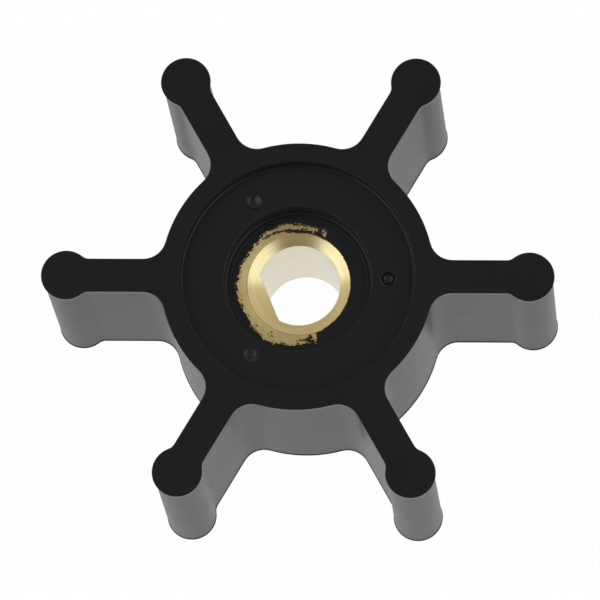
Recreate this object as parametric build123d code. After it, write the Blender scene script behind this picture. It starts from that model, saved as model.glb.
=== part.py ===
from build123d import *
import os
from math import radians, tan

# A flexible pump impeller: one rubber moulding, a hub with six bead-tipped vanes,
# moulded round a turned brass bush whose bore has one flat to take the drive.
# The axis is Z, the lower end face lies on z = 0, and one vane points along +X.
# Lengths are millimetres and angles are degrees.

# Vanes
vane_count = 6
tip_diameter = 51.0            # over the vane tips, with the vanes unbent
body_width = 21.2              # end face to end face
vane_thickness = 3.35
bead_swell = 0.8               # how far the tip bead stands out from each side of its vane
bead_neck_radius = 1.15        # hollow between a vane's side and its bead
vane_root_radius = 2.3         # hollow between a vane's side and the hub

# Hub and its two dished ends
hub_diameter = 27.2
hub_rim_width = 1.87           # flat rim round each dished end
recess_depth = 1.15
recess_draft = 5.0
well_depth = 2.3               # from the floor of the recess to the end of the bush
well_draft = 1.0
well_ledge = 0.55              # flat ledge between the well's wall and the bush
ledge_height = 0.1             # how far the ledge stands above the film
foot_radius = 0.15             # moulded radius where the recess's wall meets its floor

# Marks of the three mould pins in the floor of the upper recess
mark_count = 3
mark_diameter = 1.55
mark_depth = 0.3
mark_offset = 1.62             # from the well's lip to the middle of a mark

# Rubber film that the mould leaves on the ends of the bush
film_thickness = 0.12
film_reach = 0.43              # how far it creeps in from the bush's edge
tongue_gap = 0.05              # from the upper film's long tongue to the countersink
tongue_start = -70.0           # the tongue covers the bush's end between these two angles
tongue_end = 58.0
tongue_corner_radius = 0.3

# Brass bush
shaft_diameter = 8.0
shaft_clearance = 0.08         # on the radius, and on the flat
shaft_flat_depth = 0.86        # how much the shaft's flat takes off its round
flat_direction = 203.0         # the way the flat faces out from the axis
bush_wall = 2.7
countersink_diameter = 10.3    # of each mouth of the bore
countersink_angle = 120.0      # between the two sides of the cone
flute_count = 10
flute_radius = 0.7
flute_depth = 0.45
flute_shoulder = 1.8           # plain barrel left at each end of the flutes

# Worked out from the sizes above
tip_radius = tip_diameter / 2
hub_radius = hub_diameter / 2
bead_radius = vane_thickness / 2 + bead_swell
bead_centre_radius = tip_radius - bead_radius

bore_radius = shaft_diameter / 2 + shaft_clearance
flat_distance = bore_radius - shaft_flat_depth
bush_radius = bore_radius + bush_wall
bush_end_depth = recess_depth + well_depth
bush_length = body_width - 2 * bush_end_depth
countersink_radius = countersink_diameter / 2
countersink_depth = countersink_radius / tan(radians(countersink_angle / 2))
bush_top = body_width - bush_end_depth

recess_lip_radius = hub_radius - hub_rim_width
recess_foot_radius = recess_lip_radius - recess_depth * tan(radians(recess_draft))
well_wall_height = well_depth - ledge_height - film_thickness
well_foot_radius = bush_radius + well_ledge
well_lip_radius = well_foot_radius + well_wall_height * tan(radians(well_draft))
mark_circle_radius = well_lip_radius + mark_offset
window_radius = bush_radius - film_reach
tongue_radius = countersink_radius + tongue_gap

# How far a cutting solid runs past the face that it opens through
cut_margin = 1.0

mid_height = Plane.XY.offset(body_width / 2)


def upright_edges(solid, low, high):
    """Straight upright edges whose distance from the axis lies between two radii."""
    edges = solid.edges().filter_by(Axis.Z)
    return [edge for edge in edges if low < Vector(edge.center().X, edge.center().Y).length < high]


def vane_star():
    """Hub disc and vanes as one prism, hollowed at each bead's neck and each vane's root."""
    with BuildPart() as star:
        with BuildSketch():
            Circle(hub_radius)
            with PolarLocations(0, vane_count):
                Rectangle(bead_centre_radius, vane_thickness, align=(Align.MIN, Align.CENTER))
            with PolarLocations(bead_centre_radius, vane_count):
                Circle(bead_radius)
        extrude(amount=body_width)
        mid_vane_radius = (hub_radius + bead_centre_radius) / 2
        fillet(upright_edges(star.part, mid_vane_radius, tip_radius), radius=bead_neck_radius)
        fillet(upright_edges(star.part, 0, mid_vane_radius), radius=vane_root_radius)
    return star.part


def end_dish():
    """The air in the upper dished end: a drafted recess, then a well down to the bush's film."""
    recess_floor = body_width - recess_depth
    ledge = recess_floor - well_wall_height
    film_top = ledge - ledge_height
    with BuildPart() as dish:
        with BuildSketch(Plane.XZ) as half_section:
            with BuildLine():
                Polyline(
                    (0, body_width + cut_margin),
                    (recess_lip_radius, body_width + cut_margin),
                    (recess_lip_radius, body_width),
                    (recess_foot_radius, recess_floor),
                    (well_lip_radius, recess_floor),
                    (well_foot_radius, ledge),
                    (bush_radius, ledge),
                    (bush_radius, film_top),
                    (0, film_top),
                    close=True,
                )
            make_face()
            corners = half_section.vertices()
            recess_foot = corners.sort_by_distance((recess_foot_radius, recess_floor))[0]
            fillet(recess_foot, radius=foot_radius)
        revolve(axis=Axis.Z)
    return dish.part


def film_window(tongued):
    """The opening in the film over the bush's upper end, with or without the long tongue left in."""
    with BuildPart() as window:
        with BuildSketch(Plane.XY.offset(bush_top)):
            Circle(window_radius)
            if tongued:
                with BuildSketch(mode=Mode.SUBTRACT) as tongue:
                    sweep_angle = tongue_end - tongue_start
                    with BuildLine():
                        inner_edge = CenterArc((0, 0), tongue_radius, tongue_start, sweep_angle)
                        outer_edge = CenterArc((0, 0), bush_radius, tongue_start, sweep_angle)
                        Line(inner_edge @ 0, outer_edge @ 0)
                        Line(inner_edge @ 1, outer_edge @ 1)
                    make_face()
                    inner_corners = tongue.vertices().sort_by_distance((0, 0))[0:2]
                    fillet(inner_corners, radius=tongue_corner_radius)
        extrude(amount=film_thickness)
    return window.part


def pin_marks():
    """The three shallow round dimples, each a cap of a ball sunk in the recess floor."""
    mark_radius = mark_diameter / 2
    ball_radius = (mark_radius**2 + mark_depth**2) / (2 * mark_depth)
    ball_height = body_width - recess_depth - mark_depth + ball_radius
    with BuildPart() as marks:
        with Locations((0, 0, ball_height)):
            with PolarLocations(mark_circle_radius, mark_count):
                Sphere(ball_radius)
    return marks.part


def bush_blank():
    """The bush before boring: a plain-ended barrel with flutes that key it in the rubber."""
    flute_centre_radius = bush_radius - flute_depth + flute_radius
    flute_length = bush_length - 2 * flute_shoulder
    with BuildPart(mid_height) as blank:
        Cylinder(bush_radius, bush_length)
        with PolarLocations(flute_centre_radius, flute_count):
            Cylinder(flute_radius, flute_length, mode=Mode.SUBTRACT)
    return blank.part


def drive_bore():
    """The bore: a round hole with one flat down its length, countersunk at each mouth."""
    cone_middle = (bush_length - countersink_depth) / 2
    with BuildPart(mid_height) as bore:
        with BuildSketch(mid_height):
            Circle(bore_radius)
            with PolarLocations(flat_distance, 1, start_angle=flat_direction):
                Rectangle(
                    bore_radius,
                    2 * bore_radius,
                    align=(Align.MIN, Align.CENTER),
                    mode=Mode.SUBTRACT,
                )
        extrude(amount=bush_length / 2, both=True)
        with Locations((0, 0, cone_middle)):
            Cone(0, countersink_radius, countersink_depth)
        with Locations((0, 0, -cone_middle)):
            Cone(countersink_radius, 0, countersink_depth)
    return bore.part


def impeller_body():
    """The rubber moulding, with the space that the bush fills taken out of it."""
    upper_cuts = [end_dish(), film_window(tongued=True), pin_marks()]
    lower_cuts = [mirror(cut, about=mid_height) for cut in (end_dish(), film_window(tongued=False))]
    body = vane_star() - upper_cuts - lower_cuts - bush_blank()
    return body


def drive_bush():
    """The brass insert."""
    return bush_blank() - drive_bore()


os.makedirs("parts", exist_ok=True)
export_step(impeller_body(), "parts/impeller_body.step")
export_step(drive_bush(), "parts/drive_bush.step")
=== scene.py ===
import bmesh
import bpy
import numpy as np
from math import acos, atan2, cos, pi, radians, sin, sqrt, tan
from mathutils import Matrix, Vector


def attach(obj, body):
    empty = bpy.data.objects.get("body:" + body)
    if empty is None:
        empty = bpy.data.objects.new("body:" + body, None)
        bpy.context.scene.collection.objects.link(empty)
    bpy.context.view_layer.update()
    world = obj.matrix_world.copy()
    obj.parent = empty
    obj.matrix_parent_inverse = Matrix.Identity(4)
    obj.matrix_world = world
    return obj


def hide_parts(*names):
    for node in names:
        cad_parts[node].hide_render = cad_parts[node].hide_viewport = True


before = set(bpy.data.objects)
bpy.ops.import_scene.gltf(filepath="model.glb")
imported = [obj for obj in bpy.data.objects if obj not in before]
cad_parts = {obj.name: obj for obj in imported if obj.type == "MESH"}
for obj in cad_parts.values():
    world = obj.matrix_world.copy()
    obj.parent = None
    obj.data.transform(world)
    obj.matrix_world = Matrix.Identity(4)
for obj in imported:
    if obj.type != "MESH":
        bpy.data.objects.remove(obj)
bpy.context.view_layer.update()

# Sizes are millimetres and the meshes are metres. The axis of the pump shaft is Z, the lower end
# face is on z = 0, and one vane points along +X.
mm = 0.001
body_width = 21.2
doubles_gap = 0.001
sharp_angle = radians(32.0)


# ---- Drive bush ------------------------------------------------------------------------------
# A short length of brass bar, bored with one flat down the hole so that a shaft with a matching
# flat turns it, then faced and countersunk in a lathe. It goes into the mould before the rubber,
# which grips the flutes round its barrel and leaves only its two ends bare.
bush_radius = 6.78
bush_top = 17.75
bore_radius = 4.08
flat_distance = 3.22
flat_direction = radians(203.0)
countersink_radius = 5.15
countersink_slope = tan(radians(60.0))
flute_count = 10
flute_radius = 0.7
flute_depth = 0.45
flute_top = 15.95
plain_barrel = 0.5              # from the flutes up to a row of points on the plain barrel

# Radii of the broken edges, from the bore outwards.
bore_edge = 0.04
countersink_edge = 0.10
outer_edge = 0.08

# Points round the bush: over the flat, over the round wall, and one close to each corner.
flat_steps = 60
round_steps = 299
corner_gap = radians(0.25)


def unit(vectors):
    """Vectors scaled to length one."""
    return vectors / np.linalg.norm(vectors, axis=-1, keepdims=True)


def rounded_run(corners, arc_radii, arc_steps=4):
    """Rows of points along straight stretches whose corners are turned by arcs.

    With a and b the unit directions from a corner to the ones before and after it, and h half
    the angle between them, an arc of radius q has its centre on the bisector, q / sin h from the
    corner, and meets the stretches q / tan h from it. Its points sweep evenly from one meeting
    point to the other. A row just outside each end keeps the shading of the stretches flat.
    """
    rows = [corners[:1]]
    for before, corner, after, q in zip(corners, corners[1:], corners[2:], arc_radii):
        a, b = unit(before - corner), unit(after - corner)
        half = np.arccos(np.clip((a * b).sum(-1, keepdims=True), -1, 1)) / 2
        centre = corner + unit(a + b) * q / np.sin(half)
        start, end = (unit(corner + c * q / np.tan(half) - centre) for c in (a, b))
        sweep = pi - 2 * half
        part = np.linspace(0, 1, arc_steps + 1)[:, None, None]
        way = (np.sin((1 - part) * sweep) * start + np.sin(part * sweep) * end) / np.sin(sweep)
        arc_rows = centre + q * way
        outside = 0.3 * q
        rows += [arc_rows[:1] + a * outside, arc_rows, arc_rows[-1:] + b * outside]
    return np.concatenate(rows + [corners[-1:]])


def flute_cut(turn):
    """How far the flutes take the barrel in at an angle: the near wall of the round flute that is
    closest, c cos t - sqrt(f² - c² sin² t) from the axis, where c is its centre's distance."""
    centre = bush_radius - flute_depth + flute_radius
    pitch = 2 * pi / flute_count
    t = (turn + pitch / 2) % pitch - pitch / 2
    wall = centre * np.cos(t) - np.sqrt(np.maximum(flute_radius**2 - (centre * np.sin(t))**2, 0))
    inside = np.abs(centre * np.sin(t)) < flute_radius
    return np.where(inside, np.maximum(bush_radius - wall, 0), 0)


def quads(rows, columns):
    """Point numbers of the quads between the rows of a grid whose columns close on themselves."""
    i = np.arange(rows - 1)[:, None] * columns
    j = np.arange(columns)[None]
    k = (j + 1) % columns
    return np.stack([i + j, i + k, i + columns + k, i + columns + j], -1)


def turned(radius_height, turn):
    """Rows of (radius, height) carried round the axis: x = r cos t, y = r sin t, z = height."""
    r, z = radius_height[..., 0], radius_height[..., 1]
    return np.stack([r * np.cos(turn), r * np.sin(turn), z], -1)


def piece(name, points, faces, material_numbers=None, point_values=None):
    """A smooth mesh object from points in millimetres, its doubles merged and faces outwards."""
    mesh = bpy.data.meshes.new(name)
    mesh.from_pydata((points * mm).tolist(), [], faces)
    if material_numbers is not None:
        mesh.polygons.foreach_set("material_index", material_numbers.astype(np.int32))
    for label, values in (point_values or {}).items():
        attribute = mesh.attributes.new(label, "FLOAT", "POINT")
        attribute.data.foreach_set("value", values.astype(np.float32))
    shape = bmesh.new()
    shape.from_mesh(mesh)
    bmesh.ops.remove_doubles(shape, verts=shape.verts, dist=doubles_gap * mm)
    bmesh.ops.recalc_face_normals(shape, faces=shape.faces)
    shape.to_mesh(mesh)
    shape.free()
    mesh.shade_smooth()
    mesh.set_sharp_from_angle(angle=sharp_angle)
    thing = bpy.data.objects.new(name, mesh)
    bpy.context.scene.collection.objects.link(thing)
    return thing


half_flat = acos(flat_distance / bore_radius)
round_start = half_flat + 4 * corner_gap
bush_turn = flat_direction + np.concatenate([
    np.linspace(-half_flat, half_flat, flat_steps + 1),
    [half_flat + corner_gap],
    np.linspace(round_start, 2 * pi - round_start, round_steps + 1),
    [2 * pi - half_flat - corner_gap],
])
off_flat = np.abs((bush_turn - flat_direction + pi) % (2 * pi) - pi)
hole = np.where(off_flat <= half_flat + 1e-9, flat_distance / np.cos(off_flat), bore_radius)
cone_foot = bush_top - (countersink_radius - hole) / countersink_slope
fluted = bush_radius - flute_cut(bush_turn)


def bush_row(radius, height):
    """A row of (radius, height) with a point for each angle of the bush."""
    return np.stack(np.broadcast_arrays(radius, height, bush_turn)[:2], -1)


upper_corners = np.stack([
    bush_row(hole, body_width / 2),
    bush_row(hole, cone_foot),
    bush_row(countersink_radius, bush_top),
    bush_row(bush_radius, bush_top),
    bush_row(bush_radius, flute_top + plain_barrel),
])
upper_rows = rounded_run(upper_corners, [bore_edge, countersink_edge, outer_edge])
barrel_rows = np.stack([
    bush_row(bush_radius, flute_top),
    bush_row(fluted, flute_top),
    bush_row(fluted, body_width - flute_top),
    bush_row(bush_radius, body_width - flute_top),
])
lower_rows = upper_rows[::-1] * [1, -1] + [0, body_width]
bush_rows = np.concatenate([upper_rows, barrel_rows, lower_rows])
bush_faces = quads(len(bush_rows), len(bush_turn))
bore_rows = 4                   # rows of quads from mid-height to the bore's broken edge
in_bore = np.zeros(bush_faces.shape[:2], bool)
in_bore[:bore_rows] = in_bore[-bore_rows:] = True
bush = piece("drive_bush_turned", turned(bush_rows, bush_turn).reshape(-1, 3),
             bush_faces.reshape(-1, 4).tolist(), in_bore.ravel())


def adder(tree):
    """A function that adds a node to a tree. Its sockets are named, or numbered as i0, i1."""
    def add(kind, settings=None, **sockets):
        new = tree.nodes.new(kind)
        for key, value in (settings or {}).items():
            setattr(new, key, value)
        for key, value in sockets.items():
            number = key[1:]
            socket = new.inputs[int(number) if number.isdigit() else key.replace("_", " ")]
            if isinstance(value, bpy.types.NodeSocket):
                tree.links.new(value, socket)
            else:
                socket.default_value = value
        return new

    return add


def material(name):
    """A new node material, and the function that adds its nodes."""
    made = bpy.data.materials.new(name)
    made.use_nodes = True
    made.node_tree.nodes.clear()
    return made, adder(made.node_tree)


def maths(add, operation, *values):
    """The result of an operation on one or two values."""
    numbered = {f"i{n}": value for n, value in enumerate(values)}
    return add("ShaderNodeMath", {"operation": operation}, **numbered).outputs[0]


def weighted(add, first, first_weight, second, second_weight):
    """The sum of two values, each times its weight."""
    return maths(add, "ADD", maths(add, "MULTIPLY", first, first_weight),
                 maths(add, "MULTIPLY", second, second_weight))


def ramp(add, value, low, high, start=0.0, end=1.0):
    """A value that lies from low to high, carried over to the range from start to end."""
    return add("ShaderNodeMapRange", Value=value, From_Min=low, From_Max=high,
               To_Min=start, To_Max=end).outputs[0]


def blend(add, share, first, second):
    """A colour that is the second one's share of the way from the first."""
    return add("ShaderNodeMix", {"data_type": "RGBA"}, Factor=share, i6=first, i7=second).outputs[2]


def noise(add, place, scale, detail):
    """Cloudy noise about one half."""
    return add("ShaderNodeTexNoise", Vector=place, Scale=scale, Detail=detail).outputs["Fac"]


def from_axis(add, place):
    """The distance from the axis."""
    flat = add("ShaderNodeVectorMath", {"operation": "MULTIPLY"}, i0=place, i1=(1, 1, 0)).outputs[0]
    return add("ShaderNodeVectorMath", {"operation": "LENGTH"}, i0=flat).outputs["Value"]


def ring_of(add, radius, middle, width):
    """1 on a circle round the axis, falling to 0 at half the width on either side of it."""
    off = maths(add, "ABSOLUTE", maths(add, "SUBTRACT", radius, middle * mm))
    fall = maths(add, "DIVIDE", off, width / 2 * mm)
    return maths(add, "MAXIMUM", maths(add, "SUBTRACT", 1.0, fall), 0.0)


def turned_brass():
    """Lathe-turned brass: gloss drawn out across the tool lines, with coarse and fine rings.

    The flat land outside the countersink also carries two crossing hatches, where the tool
    chattered, and a dark line of painted shade runs along the countersink's edge away from the
    tongue.
    """
    made, add = material("brass_turned")
    place = add("ShaderNodeTexCoord").outputs["Object"]
    split = add("ShaderNodeSeparateXYZ", Vector=place).outputs
    radius = from_axis(add, place)
    turn = maths(add, "ARCTAN2", split[1], split[0])

    drift = 1.3
    rings = []
    for fineness in (2600.0, 6400.0):
        rings_at = add("ShaderNodeCombineXYZ", X=maths(add, "MULTIPLY", radius, fineness),
                       Y=maths(add, "MULTIPLY", maths(add, "SINE", turn), drift),
                       Z=maths(add, "MULTIPLY", maths(add, "COSINE", turn), drift)).outputs[0]
        rings.append(noise(add, rings_at, 1.0, 2.0))
    ringed = weighted(add, rings[0], 0.5, rings[1], 0.5)

    land_start, land_whole = 5.18, 5.24
    on_land = ramp(add, radius, land_start * mm, land_whole * mm)
    slants = [maths(add, "SINE", weighted(add, turn, around, radius, outward))
              for around, outward in ((26.0, 26000.0), (-10.0, 29500.0))]
    hatch = weighted(add, slants[0], 0.7, slants[1], 0.3)
    hatch_on_land = maths(add, "MULTIPLY", hatch, on_land)
    height = maths(add, "ADD", ringed, maths(add, "MULTIPLY", hatch_on_land, 0.7))
    bump = add("ShaderNodeBump", Strength=0.3, Distance=0.00002, Height=height).outputs[0]

    contrast = ramp(add, height, 0.3, 0.7)
    colour = blend(add, contrast, (0.88, 0.63, 0.19, 1), (1.00, 0.79, 0.33, 1))
    scored = maths(add, "MULTIPLY", hatch_on_land, 0.30)
    colour = blend(add, scored, colour, (0.36, 0.27, 0.10, 1))

    # Painted shade: a dark line laid along the countersink's edge, on the side away from the tongue.
    shade_side_direction = radians(-140.0)
    facing = maths(add, "COSINE", maths(add, "SUBTRACT", turn, shade_side_direction))
    edge_shade_ring = ring_of(add, radius, countersink_radius + 0.06, 0.09)
    painted_edge_shade = maths(add, "MULTIPLY", edge_shade_ring, ramp(add, facing, 0.2, 0.7, end=0.75))
    colour = blend(add, painted_edge_shade, colour, (0.20, 0.13, 0.04, 1))

    tangent = add("ShaderNodeTangent", {"direction_type": "RADIAL", "axis": "Z"}).outputs[0]
    skin = add("ShaderNodeBsdfPrincipled", Base_Color=colour, Metallic=1.0, Roughness=0.40,
               Anisotropic=0.9, Anisotropic_Rotation=0.25, Coat_Weight=1.0, Coat_IOR=1.85,
               Coat_Roughness=0.26, Normal=bump, Tangent=tangent)
    add("ShaderNodeOutputMaterial", Surface=skin.outputs[0])
    return made


def bore_brass():
    """The bore's own finish: reamed, duller and paler than the turned ends, with a few specks."""
    made, add = material("brass_bore")
    place = add("ShaderNodeTexCoord").outputs["Object"]
    colour = blend(add, noise(add, place, 900.0, 3.0), (0.68, 0.63, 0.46, 1), (0.76, 0.72, 0.56, 1))
    specks = ramp(add, noise(add, place, 3200.0, 0.0), 0.80, 0.86, end=0.6)
    colour = blend(add, specks, colour, (0.16, 0.12, 0.07, 1))
    skin = add("ShaderNodeBsdfPrincipled", Base_Color=colour, Metallic=1.0, Roughness=0.3)
    add("ShaderNodeOutputMaterial", Surface=skin.outputs[0])
    return made


bush.data.materials.append(turned_brass())
bush.data.materials.append(bore_brass())
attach(bush, "root")
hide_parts("drive_bush")


# ---- Rubber body -----------------------------------------------------------------------------
# One moulding of black rubber: a hub with six vanes that end in round beads. It is moulded
# straight on to the bush, so each end has a dished recess, a well down to the bush, and a torn
# film of rubber that crept over the bush's end between it and the mould.
vane_count = 6
tip_radius = 25.5
hub_radius = 13.6
vane_half = 3.35 / 2
bead_radius = 2.475
neck_radius = 1.15
root_radius = 2.3

# The walls: how they flare out to the upper face, and the flash round the lower one.
edge_radius = 0.09
face_rim = 0.14
flare_out = 0.04
flare_height = 1.3
flare_blend = 1.0
waist_upper = 0.17
waist_lower = 0.03
flash_reach = 0.03
flash_thickness = 0.05
flash_edge = 0.012

# The dished ends, with the radius of each of their corners.
recess_lip = 11.73
recess_foot = 11.63
recess_depth = 1.15
well_lip = 7.37
well_foot = 7.33
ledge_height = 0.1
recess_lip_edge = 0.03
recess_foot_edge = 0.15
well_lip_edge = 0.06
well_foot_edge = 0.16
ledge_edge = 0.05

# The film on the bush: where it may start, its last row on show, and where it ends in the rubber.
film_thickness = 0.12
film_innermost = 5.24
film_last_row = 6.68
film_root = 6.86
film_sunk = 0.03                # how far its underside lies in the brass
film_margin = 0.010             # how far outside its torn edge it is still meshed
film_rise = 0.06                # depth past its torn edge at which it is whole
film_fade = 0.12                # depth at which the brass no longer shows through

film_top = bush_top + film_thickness
ledge = film_top + ledge_height
recess_floor = body_width - recess_depth
lip_start = recess_lip + face_rim

# Steps of the arcs that make up half a vane's outline, and of the straight side between them.
hub_steps, root_steps, neck_steps, bead_steps, side_steps = 6, 7, 7, 24, 3

# Each mould pin's mark: half-width, depth, softness of its brim, height of the lip round it, how
# rough its bottom is torn, and how steeply it leans round the axis and away from it.
mark_circle = 8.98
mark_round = 0.84               # within this distance the floor's net lies in circles
mark_columns = 14               # columns of the net from a mark's middle to that distance
marks = np.array([
    [0.70, 0.50, 0.006, 0.050, 0.05, 0.0, 0.0],
    [0.75, 0.28, 0.006, 0.020, 0.02, 0.10, 0.015],
    [0.68, 0.22, 0.040, 0.000, 0.03, -0.06, 0.08],
])
mark_lip_offset = 0.03
mark_lip_width = 0.06
mark_seed, mark_lattice = 5, 40
mark_grain = 8                  # lattice points to a millimetre in a torn bottom


def arc(centre, radius, start, end, steps, outwards):
    """Points on a circular arc and the normals there that point away from the rubber."""
    angle = np.linspace(start, end, steps + 1)
    way = np.stack([np.cos(angle), np.sin(angle)], -1)
    return centre + radius * way, way * outwards


bead_centre = np.array([tip_radius - bead_radius, 0.0])
neck_centre = np.array([
    bead_centre[0] - sqrt((bead_radius + neck_radius)**2 - (vane_half + neck_radius)**2),
    vane_half + neck_radius,
])
root_centre = np.array([
    sqrt((hub_radius + root_radius)**2 - (vane_half + root_radius)**2),
    vane_half + root_radius,
])
root_turn = atan2(root_centre[1], root_centre[0])
neck_turn = atan2(neck_centre[1], neck_centre[0] - bead_centre[0])
hub_arc = arc(np.zeros(2), hub_radius, pi / vane_count, root_turn, hub_steps, 1)
root_arc = arc(root_centre, root_radius, root_turn + pi, 1.5 * pi, root_steps, -1)
neck_arc = arc(neck_centre, neck_radius, 1.5 * pi, neck_turn + pi, neck_steps, -1)
bead_arc = arc(bead_centre, bead_radius, neck_turn, 0, bead_steps, 1)
side_x = np.linspace(root_centre[0], neck_centre[0], side_steps + 1)[1:-1]
side = np.stack([side_x, np.full_like(side_x, vane_half)], -1)
side_normals = np.tile([0.0, 1.0], (len(side), 1))
half_points = np.concatenate([hub_arc[0], root_arc[0][1:], side, neck_arc[0], bead_arc[0][1:]])
half_normals = np.concatenate([hub_arc[1], root_arc[1][1:], side_normals, neck_arc[1], bead_arc[1][1:]])
chord = hub_steps + root_steps  # the point where the root hollow meets the flat side


def all_vanes(one):
    """One vane's share of points (n x 2), repeated round the axis."""
    angle = np.arange(vane_count)[:, None] * 2 * pi / vane_count
    x, y = one[:, 0], one[:, 1]
    return np.stack([x * np.cos(angle) - y * np.sin(angle), x * np.sin(angle) + y * np.cos(angle)], -1)


def both_sides(half):
    """A vane's whole outline from its half: the mirror image out to the tip, then back."""
    return np.concatenate([half * [1, -1], half[-2:0:-1]])


def at_height(flat, height):
    """Points in the plane, lifted to a height."""
    return np.concatenate([flat, np.broadcast_to(height, flat.shape[:2] + (1,))], -1)


def walls():
    """The upright walls: the profile (outset, height) carried round the star's outline, so a point
    is outline + outset x normal. The profile flares out and is rounded at the upper face, and ends
    in the thin flash that the mould's parting line leaves round the lower one."""
    corners = np.array([
        [-face_rim, body_width],
        [flare_out, body_width],
        [-waist_upper, body_width - flare_height],
        [-waist_lower, flash_thickness],
        [flash_reach, flash_thickness],
        [flash_reach, 0],
        [-face_rim, 0],
    ])
    arc_radii = [edge_radius, flare_blend, flash_edge, flash_edge, flash_edge]
    profile = rounded_run(corners[:, None], arc_radii, 3)
    outline = all_vanes(both_sides(half_points)).reshape(-1, 2)
    normals = all_vanes(both_sides(half_normals)).reshape(-1, 2)
    return at_height(outline + profile[:, :, :1] * normals, profile[:, :, 1:])


# The end faces start face_rim inside the walls. A chord across each vane's root parts the vane's
# face from the hub's. Its points are on the columns of the net in the recess, which are close
# together where the marks of the pins are.
inner_points = half_points - face_rim * half_normals
chord_x, chord_y = inner_points[chord]
mark_reach = mark_circle * atan2(chord_y, chord_x)
across = np.concatenate([np.linspace(0, mark_round, mark_columns), [mark_reach]])
across = np.concatenate([-across[:0:-1], across])
chord_share = np.tan(across / mark_circle) / tan(mark_reach / mark_circle)
chord_line = np.stack([np.full_like(chord_share, chord_x), chord_y * chord_share], -1)
one_rim = np.concatenate([inner_points[:chord] * [1, -1], chord_line, inner_points[chord - 1:0:-1]])
rim = all_vanes(one_rim).reshape(-1, 2)
rim_turn = np.arctan2(rim[:, 1], rim[:, 0])


def vane_faces(height):
    """The outline of the flat end of each vane: the chord across its root, then out and back."""
    one = np.concatenate([chord_line, inner_points[chord + 1:], inner_points[-2:chord:-1] * [1, -1]])
    return at_height(all_vanes(one), height)


def hub_face(height):
    """The flat ring between the recess and the vanes, on straight lines out from the axis."""
    steps = np.linspace(0, 1, 5)[:, None, None]
    near = lip_start * unit(rim)
    return at_height(near + steps * (rim - near), height)


def lattice_noise(seed, rows, columns, down, along):
    """Smooth random field from -1 to 1: seeded heights on a lattice that closes on itself after
    a full turn, blended between the four nearest with 3t² - 2t³."""
    heights = np.random.default_rng(seed).uniform(-1, 1, (rows + 2, columns))
    i, j = np.floor(down).astype(int) % (rows + 1), np.floor(along).astype(int) % columns
    s, t = (v % 1 for v in (down, along))
    s, t = (v * v * (3 - 2 * v) for v in (s, t))
    k = (j + 1) % columns
    return ((heights[i, j] * (1 - t) + heights[i, k] * t) * (1 - s)
            + (heights[i + 1, j] * (1 - t) + heights[i + 1, k] * t) * s)


def pin_mark(turn, a, b):
    """The height over the recess's floor at a round the axis and b outwards from a mark's middle.

    A mark is the cap of a ball of radius (m² + d²) / 2d, its height h over the floor softened at
    the brim to s ln(1 + exp(h / s)). A low lip stands round it, its bottom is torn, and it leans.
    """
    nearest = np.round(turn * len(marks) / (2 * pi)).astype(int) % len(marks)
    half, deep, soft, brim, torn, lean_round, lean_out = np.moveaxis(marks[nearest], -1, 0)
    far = np.hypot(a, b)
    ball = (half**2 + deep**2) / (2 * deep)
    cap = np.sqrt(np.maximum(ball**2 - far**2, 0)) - (ball - deep)
    hollow = soft * np.log1p(np.exp(cap / soft))
    lip = brim * np.exp(-((far - half - mark_lip_offset) / mark_lip_width)**2)
    rough = torn * lattice_noise(mark_seed, mark_lattice, mark_lattice,
                                 (a + 1) * mark_grain, (b + 1) * mark_grain)
    rough_part = np.clip(1.2 - far / half, 0, 1)
    lean = (lean_round * a + lean_out * b) * np.clip((half - far) / 0.2, 0, 1)
    return lip - hollow - lean + rough * rough_part


def end_dish(marked):
    """The dished end, turned about the axis: lip, recess wall, floor, well wall and ledge.

    Near a pin's mark the floor's square net is drawn in to circles by the factor
    max(|a|, |b|) / sqrt(a² + b²), where a and b lie round the axis and outwards from its middle.
    """
    arc_steps = 4 if marked else 3
    outer = rounded_run(np.array([
        [lip_start, body_width],
        [recess_lip, body_width],
        [recess_foot, recess_floor],
        [mark_circle + mark_reach, recess_floor],
    ])[:, None], [recess_lip_edge, recess_foot_edge], arc_steps)
    inner = rounded_run(np.array([
        [mark_circle - mark_reach, recess_floor],
        [well_lip, recess_floor],
        [well_foot, ledge],
        [bush_radius, ledge],
        [bush_radius, film_top],
    ])[:, None], [well_lip_edge, well_foot_edge, ledge_edge], arc_steps)
    between = across[-2:0:-1] if marked else across[-2:0:-6]
    middle = np.stack([mark_circle + between, np.full_like(between, recess_floor)], -1)[:, None]
    rows = np.concatenate([outer, middle, inner])
    r, z = (np.repeat(rows[..., n], len(rim_turn), 1) for n in (0, 1))
    turn = np.repeat(rim_turn[None], len(r), 0)
    if marked:
        pitch = 2 * pi / len(marks)
        a = mark_circle * ((turn + pitch / 2) % pitch - pitch / 2)
        b = r - mark_circle
        square = np.maximum(np.abs(a), np.abs(b))
        draw = np.clip((mark_reach - square) / (mark_reach - mark_round), 0, 1)
        factor = 1 + draw * (square / np.maximum(np.hypot(a, b), 1e-9) - 1)
        turn, r = turn + (a * factor - a) / mark_circle, r + b * factor - b
        on_floor = (np.abs(z - recess_floor) < 1e-6) & (draw > 0)
        z = z + pin_mark(turn, a * factor, b * factor) * on_floor
    return turned(np.stack([r, z], -1), turn)


def bush_seat():
    """The rubber against the bush's barrel, with the ribs that fill its flutes."""
    flute_bottom = body_width - flute_top
    film_bottom = body_width - film_top
    ribbed = bush_radius - flute_cut(rim_turn)
    rows = [(bush_radius, film_top), (bush_radius, flute_top), (ribbed, flute_top),
            (ribbed, flute_bottom), (bush_radius, flute_bottom), (bush_radius, film_bottom)]
    return np.stack([turned(np.stack(np.broadcast_arrays(r, z, rim_turn)[:2], -1), rim_turn)
                     for r, z in rows])


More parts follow.
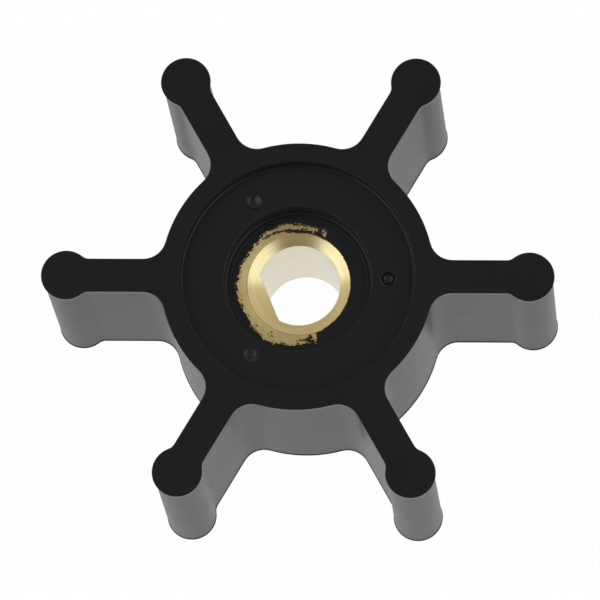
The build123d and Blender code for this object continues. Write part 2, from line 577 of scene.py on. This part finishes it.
def patches(turn, radius, rows):
    """Depth inside the nearest of some oval patches: the shorter half-width times one less the
    scaled distance from its middle. A row is middle turn, middle radius, and half-widths."""
    t, r, along, over = (np.array(rows)[:, n, None, None] for n in range(4))
    a = ((turn - t + 180) % 360 - 180) * np.radians(radius)
    scaled = np.hypot(a / along, (radius - r) / over)
    return (np.minimum(along, over) * (1 - scaled)).max(0)


def tears(seed, turn, radius, around, outward):
    """Noise on a lattice with some points around a full turn, and some outward to a millimetre."""
    return lattice_noise(seed, 2 * outward, around, (radius - 5) * outward, turn * around / 360)


def corners_joined(kept):
    """The kept squares of a grid, with one more wherever two of them touch at a corner only."""
    gap = np.zeros_like(kept[:1])
    for side in (-1, 1) * 3:
        below = np.concatenate([kept[1:], gap])
        kept = kept | np.roll(kept, side, 1) & below & ~np.roll(below, side, 1)
    return kept


def closed_slab(upper, lower, kept):
    """The kept squares of two grids that lie one over the other, with a side wherever a square's
    neighbour is not kept: the points, the faces, and the numbers of the points that are in use."""
    cells = quads(*upper.shape[:2])
    layer = upper[..., 0].size
    gap = np.zeros_like(kept[:1])
    ahead, behind = np.roll(kept, -1, 1), np.roll(kept, 1, 1)
    below, above = np.concatenate([kept[1:], gap]), np.concatenate([gap, kept[:-1]])
    faces = [cells[kept], cells[kept][:, ::-1] + layer]
    for neighbour, p, q in ((ahead, 1, 2), (below, 2, 3), (behind, 3, 0), (above, 0, 1)):
        a, b = cells[kept & ~neighbour][:, [p, q]].T
        faces.append(np.stack([b, a, a + layer, b + layer], -1))
    used, faces = np.unique(np.concatenate(faces), return_inverse=True)
    points = np.concatenate([upper.reshape(-1, 3), lower.reshape(-1, 3)])
    return points[used], faces.reshape(-1, 4), used


def torn_film(torn_edge, seed, columns, steps, tail=(), bare=(), stuck=()):
    """The film over one end of the bush, as a closed skin of small squares, and how thin it is.

    Its depth past the torn edge is radius - edge(turn) plus noise that is drawn out along the
    tool lines and breaks off in steps, and that calms down where the edge runs close to the
    countersink. The tail, a strip that is still joined, and stuck flakes are added with a
    maximum, and bare patches cut with a minimum. The top stands film_thickness over the bush, and
    runs down into it at the edge. A row of the torn edge is (turn in degrees, radius), and of the
    tail (turn, radius, half-width).
    """
    turn = np.arange(columns)[None] * 360.0 / columns
    edge_turns, edge_radii = np.array(torn_edge).T
    edge = np.interp(turn, edge_turns, edge_radii, period=360)
    wavy_edge = edge + 0.03 * lattice_noise(seed + 3, 1, 300, 0 * turn, turn * 300 / 360)
    inner = np.minimum(wavy_edge, film_innermost)
    radius = inner + (film_last_row - inner) * np.linspace(0, 1, steps)[:, None]
    radius = np.concatenate([radius, np.full_like(inner, film_root)])

    rough = (0.19 * tears(seed, turn, radius, 96, 12)
             + 0.10 * np.clip(2.5 * tears(seed + 1, turn, radius, 240, 17), -1, 1)
             + 0.06 * np.clip(2.5 * tears(seed + 2, turn, radius, 400, 15), -1, 1))
    depth = radius - edge + rough * np.clip((edge - 5.05) * 2.2, 0.22, 1)
    if tail:
        tail_turns, tail_radii, tail_halves = np.array(tail).T
        off_tail = np.abs(radius - np.interp(turn, tail_turns, tail_radii))
        strip = np.interp(turn, tail_turns, tail_halves) - off_tail
        depth = np.maximum(depth, strip + 0.6 * rough)
    if bare:
        depth = np.minimum(depth, -patches(turn, radius, bare) + 0.4 * rough)
    if stuck:
        depth = np.maximum(depth, patches(turn, radius, stuck) + 0.5 * rough)

    over = np.clip(depth / film_rise, -0.12, 1)
    top = bush_top + film_thickness * over * np.where(over > 0, 2 - over, 1)
    upper, lower = (turned(np.stack([radius, height], -1), np.radians(turn))
                    for height in (top, np.full_like(top, bush_top - film_sunk)))
    near_film = (depth.ravel()[quads(*top.shape)] > -film_margin).any(-1)
    points, faces, used = closed_slab(upper, lower, corners_joined(near_film))
    thin = np.concatenate([1 - np.clip(depth / film_fade, 0, 1).ravel(), np.zeros(top.size)])
    return points, faces, thin[used]


# The upper film kept a long tongue towards +X, and a tail of it lies along the bush's end. The
# lower one is a ring.
upper_film = torn_film(
    torn_edge=[(0, 5.10), (30, 5.13), (57, 5.18), (71, 5.2), (73, 5.98), (80, 6.0), (92, 6.18),
               (99, 6.18), (102, 6.36), (112, 6.28), (129, 6.26), (132, 5.97), (140, 6.0),
               (150, 5.86), (160, 6.05), (180, 6.2), (196, 6.25), (200, 6.1), (208, 6.17),
               (219, 6.15), (222, 6.4), (234, 6.42), (238, 6.54), (249, 6.5), (255, 6.27),
               (268, 6.28), (276, 6.15), (279, 5.95), (284, 5.9), (288, 6.0), (290, 5.28),
               (300, 5.2), (330, 5.12)],
    seed=11, columns=696, steps=36,
    tail=[(68, 5.42, 0.0), (71, 5.42, 0.26), (85, 5.42, 0.24), (95, 5.45, 0.22), (101, 5.56, 0.15),
          (108, 5.72, 0.11), (118, 5.78, 0.08), (129, 5.88, 0.04), (132, 5.9, -0.1)],
    bare=[(64.5, 5.68, 0.16, 0.24), (67, 5.85, 0.07, 0.2), (76, 5.58, 0.09, 0.25),
          (74, 5.8, 0.2, 0.09), (286.8, 5.8, 0.12, 0.4)],
    stuck=[(270.5, 5.76, 0.2, 0.09), (279, 5.72, 0.3, 0.16), (283, 5.62, 0.2, 0.2),
           (241.7, 5.64, 0.05, 0.06)])
lower_film = torn_film(
    torn_edge=[(0, 6.35), (90, 6.3), (200, 6.4)],
    seed=29, columns=420, steps=16)

# Every part of the skin as points, faces, and how thin the rubber is at each point.
upside_down, raised = np.array([1, 1, -1]), np.array([0, 0, body_width])
grids = [
    walls(),
    hub_face(body_width),
    hub_face(0.0),
    end_dish(marked=True),
    end_dish(marked=False) * upside_down + raised,
    bush_seat(),
]
shells = [(grid.reshape(-1, 3), quads(*grid.shape[:2]).reshape(-1, 4), np.zeros(grid[..., 0].size))
          for grid in grids]
shells += [upper_film, (lower_film[0] * upside_down + raised, *lower_film[1:])]
shells += [(one, np.arange(len(one))[None], np.zeros(len(one)))
           for height in (body_width, 0.0) for one in vane_faces(height)]
body_points, body_faces, body_thin, first = [], [], [], 0
for points, faces, thin in shells:
    body_points.append(points)
    body_faces += (faces + first).tolist()
    body_thin.append(thin)
    first += len(points)
body = piece("rubber_body", np.concatenate(body_points), body_faces,
             point_values={"thinness": np.concatenate(body_thin)})


def black_rubber():
    """Moulded black rubber: a very dark body colour under a soft skin gloss.

    Outside the dished ends the skin carries the mould's tool lines and is duller. Inside them its
    colour is painted paler, the most in the well, as painted light that lifts the shade falling
    in them. Where the torn film thins out over the brass, it shows through brown.
    """
    made, add = material("rubber_black")
    place = add("ShaderNodeTexCoord").outputs["Object"]
    radius = from_axis(add, place)
    outside = maths(add, "GREATER_THAN", radius, (recess_lip + 0.02) * mm)
    inside = maths(add, "SUBTRACT", 1.0, outside)
    stretched = add("ShaderNodeMapping", Vector=place, Scale=(150.0, 150.0, 9000.0)).outputs[0]
    tool_lines = maths(add, "MULTIPLY", noise(add, stretched, 1.0, 2.0), outside)

    # Painted light: inside the dished ends the colour is made paler, the most in the well, to lift the
    # shade that falls in them. The cloud noise added to it is random tone.
    well_start, well_end = 7.2, 7.6
    painted_dish_light = ramp(add, radius, well_start * mm, well_end * mm, 0.60, 0.45)
    painted_dish_light = maths(add, "MULTIPLY", painted_dish_light, inside)
    cloud = noise(add, place, 400.0, 4.0)
    pale = maths(add, "ADD", painted_dish_light, maths(add, "MULTIPLY", cloud, 0.25))
    colour = blend(add, pale, (0.0029, 0.0029, 0.0028, 1), (0.0082, 0.0083, 0.0084, 1))
    thinness = add("ShaderNodeAttribute", {"attribute_name": "thinness"}).outputs["Fac"]
    colour = blend(add, thinness, colour, (0.090, 0.042, 0.010, 1))

    grain = noise(add, place, 9000.0, 2.0)
    relief = maths(add, "ADD", grain, maths(add, "MULTIPLY", tool_lines, 2.0))
    bump = add("ShaderNodeBump", Strength=0.08, Distance=0.00001, Height=relief).outputs[0]
    skin = add("ShaderNodeBsdfPrincipled", Base_Color=colour, IOR=1.36, Normal=bump,
               Roughness=ramp(add, tool_lines, 0.0, 0.7, 0.31, 0.42),
               Sheen_Weight=0.055, Sheen_Roughness=0.3)
    add("ShaderNodeOutputMaterial", Surface=skin.outputs[0])
    return made


body.data.materials.append(black_rubber())
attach(body, "root")
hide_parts("impeller_body")


# ---- Table -----------------------------------------------------------------------------------
# A plain pale table top, far larger than the part. It is seen as near white by the camera and in
# the gloss of the part, and takes a faint shadow. From below it is clear, as a glass top is.
table_half = 1.5
white = (1, 1, 1, 1)


def sheet(name, half_width, half_height):
    """A flat rectangle round the origin, sizes in metres."""
    mesh = bpy.data.meshes.new(name)
    corners = np.array([[-1, -1, 0], [1, -1, 0], [1, 1, 0], [-1, 1, 0]])
    mesh.from_pydata((corners * [half_width, half_height, 0]).tolist(), [], [(0, 1, 2, 3)])
    thing = bpy.data.objects.new(name, mesh)
    bpy.context.scene.collection.objects.link(thing)
    return thing


def pale_table():
    """A matt pale top that glows to the camera and in the gloss of the part."""
    made, add = material("table_white")
    path = add("ShaderNodeLightPath").outputs
    matt = add("ShaderNodeBsdfDiffuse", Color=(0.85, 0.85, 0.85, 1)).outputs[0]
    glow = add("ShaderNodeEmission", Color=white, Strength=1.0).outputs[0]
    seen = maths(add, "ADD", maths(add, "MULTIPLY", path["Is Camera Ray"], 0.98), path["Is Glossy Ray"])
    lit = add("ShaderNodeMixShader", Fac=seen, i1=matt, i2=glow).outputs[0]
    clear = add("ShaderNodeBsdfTransparent").outputs[0]
    under = add("ShaderNodeNewGeometry").outputs["Backfacing"]
    both = add("ShaderNodeMixShader", Fac=under, i1=lit, i2=clear).outputs[0]
    add("ShaderNodeOutputMaterial", Surface=both)
    return made


table = sheet("table_top", table_half, table_half)
table.data.materials.append(pale_table())


# ---- Light -----------------------------------------------------------------------------------
# A pale, even room. A broad soft lamp stands on each side of the front, with a grey card between
# them. Another card hangs behind the camera, almost straight above the part.
lamp_tint = (0.62, 0.79, 1.0)
card_distance = 0.7
world = bpy.data.worlds.new("room")
bpy.context.scene.world = world
world.use_nodes = True
world.node_tree.nodes.clear()
add = adder(world.node_tree)
camera_ray = add("ShaderNodeLightPath").outputs["Is Camera Ray"]
room = add("ShaderNodeBackground", Color=white, Strength=ramp(add, camera_ray, 0.0, 1.0, 0.8, 1.0))
add("ShaderNodeOutputWorld", Surface=room.outputs[0])


def facing_hub(azimuth, elevation, distance):
    """The place of something that faces the hub from an azimuth and elevation in degrees."""
    a, e = radians(azimuth), radians(elevation)
    way = Vector((cos(a) * cos(e), sin(a) * cos(e), sin(e)))
    hub = Vector((0, 0, 0.01))
    return Matrix.Translation(way * distance + hub) @ way.to_track_quat("Z", "Y").to_matrix().to_4x4()


def soft_lamp(name, azimuth, elevation, distance, width, height, power):
    """A rectangular soft lamp, of a colder white than the room."""
    light = bpy.data.lights.new(name, "AREA")
    light.shape = "RECTANGLE"
    light.size, light.size_y, light.energy = width, height, power
    light.color = lamp_tint
    lamp = bpy.data.objects.new(name, light)
    bpy.context.scene.collection.objects.link(lamp)
    lamp.matrix_world = facing_hub(azimuth, elevation, distance)


def dark_screen(name, azimuth, elevation, half_width, half_height, level):
    """A grey card, seen only in the part's gloss and by the shade it gives."""
    screen = sheet(name, half_width, half_height)
    screen.matrix_world = facing_hub(azimuth, elevation, card_distance)
    screen.visible_camera = False
    made, add = material(name + "_grey")
    grey = add("ShaderNodeEmission", Color=(level, level, level, 1)).outputs[0]
    add("ShaderNodeOutputMaterial", Surface=grey)
    screen.data.materials.append(made)


soft_lamp("lamp_left", -159.0, 37.0, 0.5, 0.50, 0.40, 0.97)
soft_lamp("lamp_right", -19.0, 37.0, 0.5, 0.52, 0.40, 0.93)
dark_screen("screen_front", -90.0, 34.0, 0.56, 0.36, 0.25)
dark_screen("screen_above", 90.0, 82.0, 0.33, 0.53, 0.36)


# ---- Camera ----------------------------------------------------------------------------------
# A long lens looks steeply down on the part from the front, and a little off the vanes' line.
view_azimuth, view_elevation, view_roll = radians(13.660), radians(75.936), radians(-13.015)
view_distance = 0.626235
aim = Vector((0, 0, body_width * mm))
picture_width, focal_pixels = 600, 6314.98
aim_right_pixels, aim_up_pixels = -2.8814, 24.1771
back = Vector((
    sin(view_azimuth) * cos(view_elevation),
    -cos(view_azimuth) * cos(view_elevation),
    sin(view_elevation),
))
level_right = Vector((cos(view_azimuth), sin(view_azimuth), 0))
level_up = level_right.cross(-back)
right = level_right * cos(view_roll) + level_up * sin(view_roll)
up = level_up * cos(view_roll) - level_right * sin(view_roll)
aside = right * aim_right_pixels / focal_pixels
above = up * aim_up_pixels / focal_pixels
lens = bpy.data.cameras.new("camera")
lens.sensor_width = 36.0
lens.lens = focal_pixels * lens.sensor_width / picture_width
lens.clip_start, lens.clip_end = 0.05, 20.0
camera = bpy.data.objects.new("camera", lens)
bpy.context.scene.collection.objects.link(camera)
turned_to = Matrix((right, up, back)).transposed().to_4x4()
camera.matrix_world = Matrix.Translation(aim + (back - aside - above) * view_distance) @ turned_to
bpy.context.scene.camera = camera
bpy.context.scene.view_settings.view_transform = "Standard"
